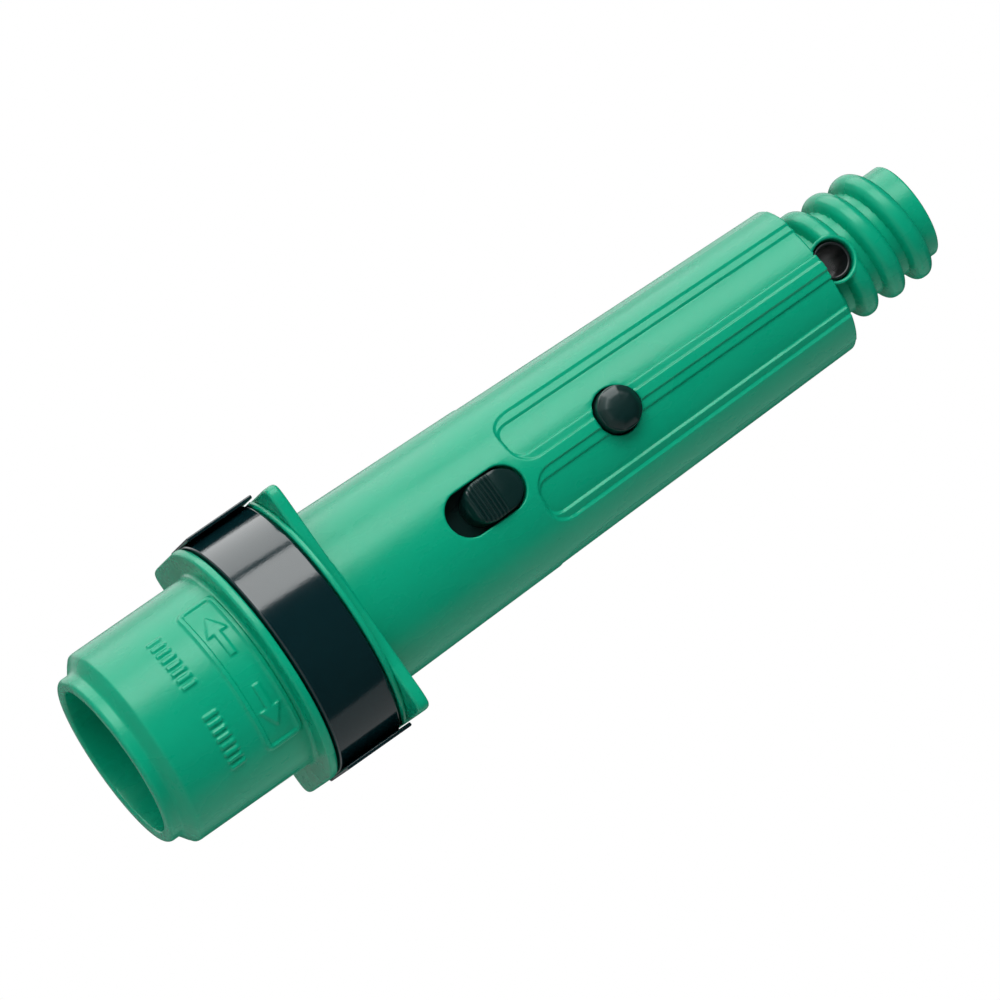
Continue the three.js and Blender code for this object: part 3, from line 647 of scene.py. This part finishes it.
def make_clip():
    outer_r = -clip_low.y
    inner_r = BARREL_R + GAP
    leg = clip_high.y
    z0 = clip_low.z
    z1 = REAR_FLANGE_Z - (clip_low.z - GROOVE_Z)
    centre, half = (outer_r + inner_r) / 2, (outer_r - inner_r) / 2
    stations = [(-centre, y, -1.0, 0.0) for y in np.linspace(leg, 0.6, 6)]
    for t in np.radians(np.linspace(180, 360, 121)):
        stations.append((centre * math.cos(t), centre * math.sin(t), math.cos(t), math.sin(t)))
    stations += [(centre, y, 1.0, 0.0) for y in np.linspace(0.6, leg, 6)]
    rounding = 0.42
    section = []
    for cx, cz, start in ((1, 1, 0), (-1, 1, 90), (-1, -1, 180), (1, -1, 270)):
        a = cx * (half - rounding)
        b = cz * ((z1 - z0) / 2 - rounding)
        section += arc(a, b, rounding, start, start + 90, 6)
    mid = (z0 + z1) / 2
    rings = []
    for x, y, nx, ny in stations:
        rings.append(np.array([(x + nx * a, y + ny * a, mid + b) for a, b in section]))
    clip = rings_object("clip_moulding", rings)
    for side in (-1, 1):
        near, far = sorted((side * (clip_high.x - PAD_THICKNESS), side * clip_high.x))
        pad = rounded_box("pad", (near, PAD_Y, z0), (far, leg, clip_high.z), 0.22)
        combine(clip, pad, "UNION")
        near, far = sorted((side * RIB_REACH, side * (inner_r + 1)))
        rib_low = (near, -RIB_Y, mid - RIB_HALF_HEIGHT)
        rib = rounded_box("rib", rib_low, (far, RIB_Y, mid + RIB_HALF_HEIGHT), 0.3)
        combine(clip, rib, "UNION")
    return finish_piece(clip, "clip", gloss_black, ["retaining_clip"])


# ---------- push button ----------

def make_button():
    crown = -button_low.y
    foot = -button_high.y
    base_r = (button_high.x - button_low.x) / 2
    shoulder = math.sqrt(CAVITY_R ** 2 - base_r ** 2) - GAP
    skirt = crown - 1.2
    profile = [(2.0, foot), (2.0, shoulder - 1.2), (2.3, shoulder - 0.9), (base_r - 0.2, shoulder - 0.9)]
    profile += [(base_r, shoulder - 0.7), (base_r, shoulder - 0.2), (base_r - 0.2, shoulder)]
    profile += [(BUTTON_R, shoulder), (BUTTON_R, skirt - 0.35)]
    profile += arc(BUTTON_R - 0.3, skirt - 0.3, 0.3, 0, 90, 5)
    button = lathe_across("button_cap", profile, BUTTON_Z, 96)
    facets = 8
    count = facets * 12
    t = circle(count)
    half_sector = math.pi / facets
    flat = np.cos(half_sector) / np.cos((t + half_sector) % (2 * half_sector) - half_sector)
    rings = []
    dome = [(0.995, -1.0), (0.995, -0.1), (0.985, 0.08), (0.955, 0.2), (0.74, 0.72), (0.67, 0.82)]
    dome += [(0.54, 0.9), (0.34, 0.96), (0.12, 1.0)]
    for share, rise in dome:
        keep = 1 - smooth((0.34 - share) / 0.3)
        radius = BUTTON_R * share * (1 + (flat - 1) * (0.15 + 0.45 * keep))
        depth = skirt - 0.25 + (crown - skirt + 0.25) * rise
        rings.append(np.stack([radius * np.cos(t), np.full(count, -depth), BUTTON_Z + radius * np.sin(t)], 1))
    combine(button, rings_object("facets", rings), "UNION")
    return finish_piece(button, "button", satin_black, ["release_button"], 22.0)


# ---------- slide switch ----------

def make_knob():
    top = -knob_low.y
    width = SLOT_WIDTH - 2 * GAP
    length = SLOT_LENGTH - SLIDE_TRAVEL - 2 * GAP
    centre = (knob_low.z + knob_high.z) / 2
    low, high = centre - length / 2, centre + length / 2
    ridge_low, ridge_high = centre + RIDGE_ZONE[0], centre + RIDGE_ZONE[1]
    pitch = (ridge_high - ridge_low) / RIDGES

    def height(x, z):
        crown = top - 0.028 * x ** 2
        along = np.clip(z, ridge_low, ridge_high) - ridge_low
        ridge = 0.3 * (0.5 - 0.5 * np.cos(2 * math.pi * along / pitch)) ** 0.8
        scoop = 0.9 * smooth((ridge_low - z) / 0.7) + 1.1 * smooth((z - ridge_high) / (high - ridge_high))
        ball = np.hypot(x, np.maximum(np.abs(z - centre) - (length - width) / 2, 0))
        edge = np.clip(0.5 - (width / 2 - ball), 0, 0.5)
        rounding = 0.5 - np.sqrt(np.maximum(0.25 - edge ** 2, 0))
        return crown - 0.4 + ridge - scoop - rounding

    xs = np.linspace(-width / 2 - 0.4, width / 2 + 0.4, 66)
    zs = np.linspace(low - 0.4, high + 0.4, 150)
    gx, gz = np.meshgrid(xs, zs)
    tops = np.stack([gx, -height(gx, gz), gz], -1).reshape(-1, 3)
    bottoms = np.stack([gx, np.full(gx.shape, -KNOB_FLOOR_DEPTH), gz], -1).reshape(-1, 3)
    rows, columns = gx.shape
    total = rows * columns
    faces = []
    for i in range(rows - 1):
        for k in range(columns - 1):
            q = (i * columns + k, i * columns + k + 1, (i + 1) * columns + k + 1, (i + 1) * columns + k)
            faces.append(q)
            faces.append(tuple(total + v for v in reversed(q)))
    for i in range(rows - 1):
        for k in (0, columns - 1):
            p, q = i * columns + k, (i + 1) * columns + k
            faces.append((p, q, q + total, p + total))
    for k in range(columns - 1):
        for i in (0, rows - 1):
            p, q = i * columns + k, i * columns + k + 1
            faces.append((p, q, q + total, p + total))
    knob = new_mesh_object("switch_knob", np.concatenate([tops, bottoms]), faces)
    outline, _ = stadium(width, length, centre)
    outline[:, 0] *= 1 - 0.16 * smooth((outline[:, 1] - centre) / (length / 2))
    rings = [np.stack([outline[:, 0], np.full(len(outline), -d), outline[:, 1]], 1) for d in (8.9, 18.0)]
    combine(knob, rings_object("plan", rings), "INTERSECT")
    base = rounded_box("base", (-4.5, -9.4, knob_low.z), (4.5, -8.6, knob_high.z), 0.2)
    combine(knob, base, "UNION")
    peg = [(1.2, -knob_high.y), (1.5, -knob_high.y + 0.3), (1.5, 9.0)]
    combine(knob, lathe_across("peg", peg, centre, 48), "UNION")
    return finish_piece(knob, "slide", satin_black, ["slide_knob"], 35.0)


# ---------- sleeve, springs and ball ----------

def make_sleeve():
    inner = SLEEVE_R - 0.5
    reach = sleeve_high.y
    rounding = 0.2
    profile = []
    profile += arc(SLEEVE_R - rounding, reach - rounding, rounding, 0, 90, 4)
    profile += arc(inner + rounding, reach - rounding, rounding, 90, 180, 4)
    profile += arc(inner + rounding, -reach + rounding, rounding, 180, 270, 4)
    profile += arc(SLEEVE_R - rounding, -reach + rounding, rounding, 270, 360, 4)
    sleeve = lathe_across("neck_sleeve", profile, CROSS_Z, 96, loop=True)
    return finish_piece(sleeve, "body", sleeve_metal, ["cross_hole_sleeve"])


def make_coil(name, node, radius, wire, turns, material):
    low, high = limits(node)
    z = (low.z + high.z) / 2
    near, far = -high.y, -low.y
    steps = int(turns * 40)
    rings = []
    reach = radius - wire / 2
    for i in range(steps + 1):
        share = i / steps
        turn = 2 * math.pi * turns * share
        closed = min(turn, 2 * math.pi * turns - turn) / (2 * math.pi)
        depth = near + wire / 2 + (far - near - wire) * share
        out = np.array([math.cos(turn), 0.0, math.sin(turn)])
        along = np.array([0.0, -1.0, 0.0])
        centre = np.array([reach * out[0], -depth, z + reach * out[2]])
        thin = 0.55 + 0.45 * smooth(closed / 0.5)
        t = circle(12)
        ring = [centre + wire / 2 * (math.cos(k) * out + math.sin(k) * thin * along) for k in t]
        rings.append(np.array(ring))
    coil = rings_object(name, rings)
    return finish_piece(coil, "body", material, [node], 50.0)


def make_ball():
    radius = (ball_high.x - ball_low.x) / 2
    centre = (ball_low + ball_high) / 2
    t = circle(64)
    rings = []
    for lat in np.radians(np.linspace(-88, 88, 45)):
        band = radius * (1 - 0.004 * math.exp(-((lat / 0.05) ** 2)))
        ring = np.stack([
            centre.x + band * math.cos(lat) * np.cos(t),
            centre.y + band * math.cos(lat) * np.sin(t),
            np.full(64, centre.z + band * math.sin(lat)),
        ], 1)
        rings.append(ring)
    ball = rings_object("detent_steel_ball", rings)
    return finish_piece(ball, "body", steel, ["detent_ball"])


def dress(node, material, bevel):
    """Keeps a CAD node, with its edges eased and its material set."""
    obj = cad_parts[node]
    obj.data.materials.clear()
    obj.data.materials.append(material)
    weld = obj.modifiers.new("weld", "WELD")
    weld.merge_threshold = 1e-6
    edge = obj.modifiers.new("edges", "BEVEL")
    edge.width = bevel * MM
    edge.segments = 2
    edge.limit_method = "ANGLE"
    edge.angle_limit = math.radians(40)
    edge.harden_normals = False


make_body()
make_clip()
make_button()
make_knob()
make_sleeve()
make_coil("button_coil", "button_spring", 3.3, 0.6, 5, steel)
make_coil("detent_coil", "detent_spring", 1.5, 0.4, 3, steel)
make_ball()
dress("slide_lock_bar", steel, 0.12)
dress("mechanism_carrier", dark_grey, 0.15)
dress("pole_stop", dark_grey, 0.25)


# ---------- camera, floor and light ----------

VIEW_TILT = math.radians(14.5)
VIEW_ROLL = math.radians(34.9)
VIEW_AZIMUTH = math.radians(0.9)
VIEW_DISTANCE = 1.024
AIM = Vector((0.00082, 0.0, 0.0695))


def make_camera():
    data = bpy.data.cameras.new("camera")
    data.lens = 252.0
    data.sensor_width = 36.0
    camera = bpy.data.objects.new("camera", data)
    bpy.context.scene.collection.objects.link(camera)
    bpy.context.scene.camera = camera
    side, level = math.sin(VIEW_AZIMUTH), math.cos(VIEW_AZIMUTH)
    back = Vector((side * math.cos(VIEW_TILT), -level * math.cos(VIEW_TILT), -math.sin(VIEW_TILT)))
    along = Vector((side * math.sin(VIEW_TILT), -level * math.sin(VIEW_TILT), math.cos(VIEW_TILT)))
    across = along.cross(back)
    right = along * math.cos(VIEW_ROLL) + across * math.sin(VIEW_ROLL)
    up = back.cross(right)
    camera.location = AIM + back * VIEW_DISTANCE
    camera.rotation_mode = "QUATERNION"
    camera.rotation_quaternion = Matrix((right, up, back)).transposed().to_quaternion()


def softbox(name, azimuth, height, distance, width, length, radiance, in_reflections):
    """A rectangular light that faces the object and either lights it or shows in its gloss."""
    data = bpy.data.lights.new(name, "AREA")
    data.shape = "RECTANGLE"
    data.size = width
    data.size_y = length
    data.energy = radiance * math.pi * width * length
    lamp = bpy.data.objects.new(name, data)
    bpy.context.scene.collection.objects.link(lamp)
    a = math.radians(azimuth)
    place = Vector((distance * math.sin(a), -distance * math.cos(a), height))
    lamp.location = place
    lamp.rotation_mode = "QUATERNION"
    lamp.rotation_quaternion = (Vector((0, 0, AIM.z)) - place).to_track_quat("-Z", "Y")
    lamp.visible_camera = False
    lamp.visible_diffuse = not in_reflections
    lamp.visible_glossy = in_reflections


def make_world():
    world = bpy.data.worlds.new("studio")
    bpy.context.scene.world = world
    world.use_nodes = True
    tree = world.node_tree
    path = tree.nodes.new("ShaderNodeLightPath")

    def sky(colour, strength):
        node = tree.nodes.new("ShaderNodeBackground")
        node.inputs["Color"].default_value = (*colour, 1)
        node.inputs["Strength"].default_value = strength
        return node

    def choose(ray, otherwise, chosen):
        mix = tree.nodes.new("ShaderNodeMixShader")
        tree.links.new(path.outputs[ray], mix.inputs["Fac"])
        tree.links.new(otherwise.outputs[0], mix.inputs[1])
        tree.links.new(chosen.outputs[0], mix.inputs[2])
        return mix

    fill = sky((0.95, 0.98, 1.0), 0.31)
    reflected = sky((0.9, 0.97, 1.0), 0.04)
    backdrop = sky((1.0, 1.0, 1.0), 1.0)
    lit = choose("Is Camera Ray", choose("Is Glossy Ray", fill, reflected), backdrop)
    tree.links.new(lit.outputs["Shader"], tree.nodes["World Output"].inputs["Surface"])


def make_floor():
    half, height = 3.0, -0.26
    mesh = bpy.data.meshes.new("floor")
    corners = [(-half, -half, height), (half, -half, height), (half, half, height), (-half, half, height)]
    mesh.from_pydata(corners, [], [(0, 1, 2, 3)])
    floor = bpy.data.objects.new("floor", mesh)
    bpy.context.scene.collection.objects.link(floor)
    pale = bpy.data.materials.new("pale_floor")
    pale.use_nodes = True
    shader = pale.node_tree.nodes["Principled BSDF"]
    shader.inputs["Base Color"].default_value = (0.8, 0.8, 0.79, 1)
    shader.inputs["Roughness"].default_value = 0.9
    mesh.materials.append(pale)


make_camera()
make_world()
make_floor()
# name, azimuth, height, distance, width, length, radiance, shown in reflections only
SOFTBOXES = [
    ("key_light", -36.0, 0.12, 0.8, 0.36, 1.1, 6.4, False),
    ("far_light", 115.0, 0.1, 0.9, 0.7, 1.0, 1.8, False),
    ("key_gloss", -49.0, 0.12, 0.8, 0.49, 1.1, 6.6, True),
    ("side_gloss", -95.0, 0.12, 0.8, 0.68, 1.1, 4.8, True),
    ("rear_gloss", -140.0, 0.12, 0.8, 0.58, 1.1, 1.5, True),
    ("far_gloss", 112.0, 0.1, 0.9, 1.17, 1.0, 0.45, True),
]
for settings in SOFTBOXES:
    softbox(*settings)
bpy.context.scene.view_settings.view_transform = "Standard"
